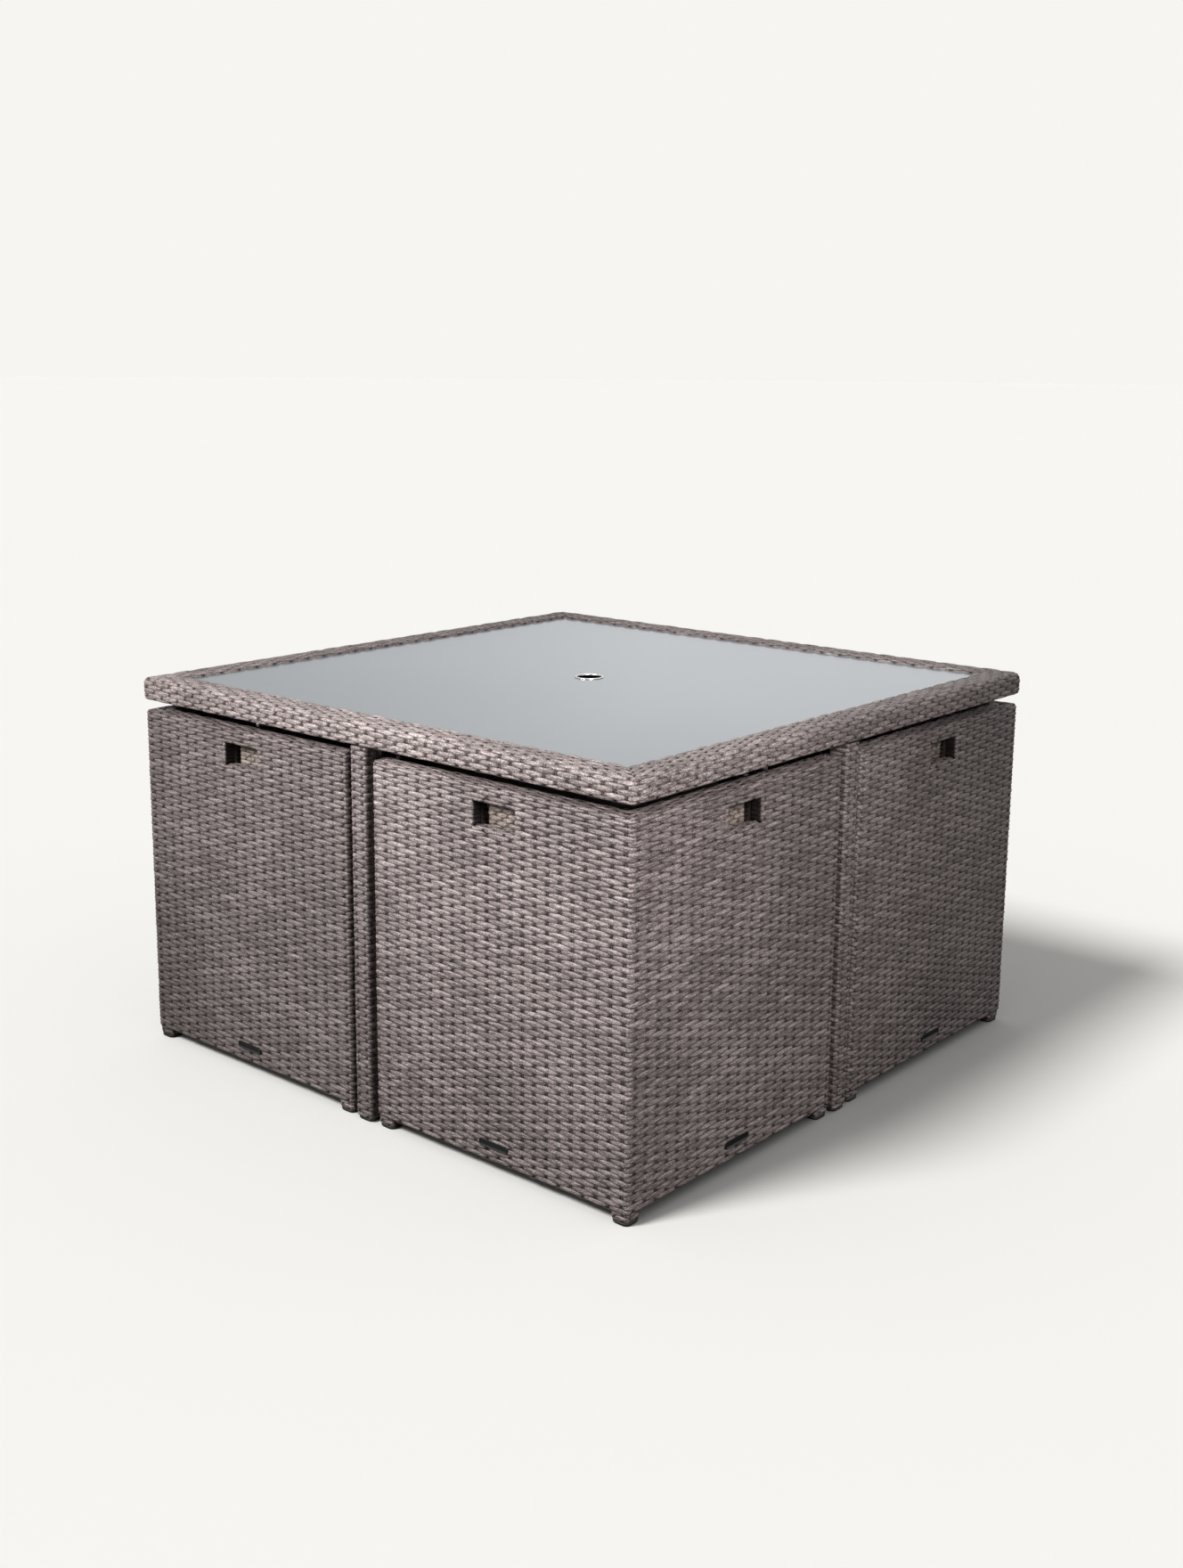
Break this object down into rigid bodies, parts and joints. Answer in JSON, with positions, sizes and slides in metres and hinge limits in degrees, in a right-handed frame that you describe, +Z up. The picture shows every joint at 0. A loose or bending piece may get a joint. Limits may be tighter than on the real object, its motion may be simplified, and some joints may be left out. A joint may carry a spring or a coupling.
{
  "type": "rattan cube dining set",
  "caption": "Square woven dining table with an inset glass top and a parasol hole; corner chairs with cushions store under it to form a cube and pull straight out.",
  "frame": {"origin": "centre of the set at floor level, under the parasol hole", "axes": "+Z up; +X and -Y out of the two faces seen in the picture, the corner between them is the near one"},
  "size_m": [1.24, 1.24, 0.74],
  "materials": {
    "rattan": "flat woven synthetic strand, grained, satin",
    "frame_tube": "powder-coated, satin black-brown",
    "frosted_glass": "toughened, frosted from below, polished top",
    "chrome_ring": "polished",
    "clear_rubber": "soft translucent",
    "black_plastic": "moulded, satin black",
    "steel_fastener": "zinc plated",
    "cushion_fabric": "woven outdoor fabric, piped"
  },
  "bodies": {
    "table": {"glass_ledge_pads": "clear_rubber", "glass_rail_pads": "clear_rubber", "parasol_ring": "chrome_ring", "table_base_screws": "steel_fastener", "table_base_stretcher": "frame_tube", "table_cross_rails": "frame_tube", "table_glass": "frosted_glass", "table_leg_back_tube": "frame_tube", "table_leg_back_weave": "rattan", "table_leg_bolts": "steel_fastener", "table_leg_front_tube": "frame_tube", "table_leg_front_weave": "rattan", "table_leg_glides": "black_plastic", "table_leg_left_tube": "frame_tube", "table_leg_left_weave": "rattan", "table_leg_right_tube": "frame_tube", "table_leg_right_weave": "rattan", "table_rim_frame": "frame_tube", "table_rim_weave": "rattan"},
    "chair_front": {"chair_front_frame": "frame_tube", "chair_front_outer_weave": "rattan", "chair_front_inner_weave": "rattan", "chair_front_seat_weave": "rattan", "chair_front_leg_and_foot_wraps": "rattan", "chair_front_hand_grips": "rattan", "chair_front_blank_plates": "black_plastic", "chair_front_foot_glides": "black_plastic", "chair_front_seat_cushion": "cushion_fabric"},
    "chair_right": {"chair_right_frame": "frame_tube", "chair_right_outer_weave": "rattan", "chair_right_inner_weave": "rattan", "chair_right_seat_weave": "rattan", "chair_right_leg_and_foot_wraps": "rattan", "chair_right_hand_grips": "rattan", "chair_right_blank_plates": "black_plastic", "chair_right_foot_glides": "black_plastic", "chair_right_seat_cushion": "cushion_fabric"},
    "chair_back": {"chair_back_frame": "frame_tube", "chair_back_outer_weave": "rattan", "chair_back_inner_weave": "rattan", "chair_back_seat_weave": "rattan", "chair_back_leg_and_foot_wraps": "rattan", "chair_back_hand_grips": "rattan", "chair_back_blank_plates": "black_plastic", "chair_back_foot_glides": "black_plastic", "chair_back_seat_cushion": "cushion_fabric"},
    "chair_left": {"chair_left_frame": "frame_tube", "chair_left_outer_weave": "rattan", "chair_left_inner_weave": "rattan", "chair_left_seat_weave": "rattan", "chair_left_leg_and_foot_wraps": "rattan", "chair_left_hand_grips": "rattan", "chair_left_blank_plates": "black_plastic", "chair_left_foot_glides": "black_plastic", "chair_left_seat_cushion": "cushion_fabric"}
  },
  "joints": [
    {"name": "chair_front_pull_out", "type": "slide", "parent": "table", "child": "chair_front", "axis": [0, -1, 0], "range_m": [0, 0.64]},
    {"name": "chair_right_pull_out", "type": "slide", "parent": "table", "child": "chair_right", "axis": [1, 0, 0], "range_m": [0, 0.64]},
    {"name": "chair_back_pull_out", "type": "slide", "parent": "table", "child": "chair_back", "axis": [0, 1, 0], "range_m": [0, 0.64]},
    {"name": "chair_left_pull_out", "type": "slide", "parent": "table", "child": "chair_left", "axis": [-1, 0, 0], "range_m": [0, 0.64]}
  ]
}
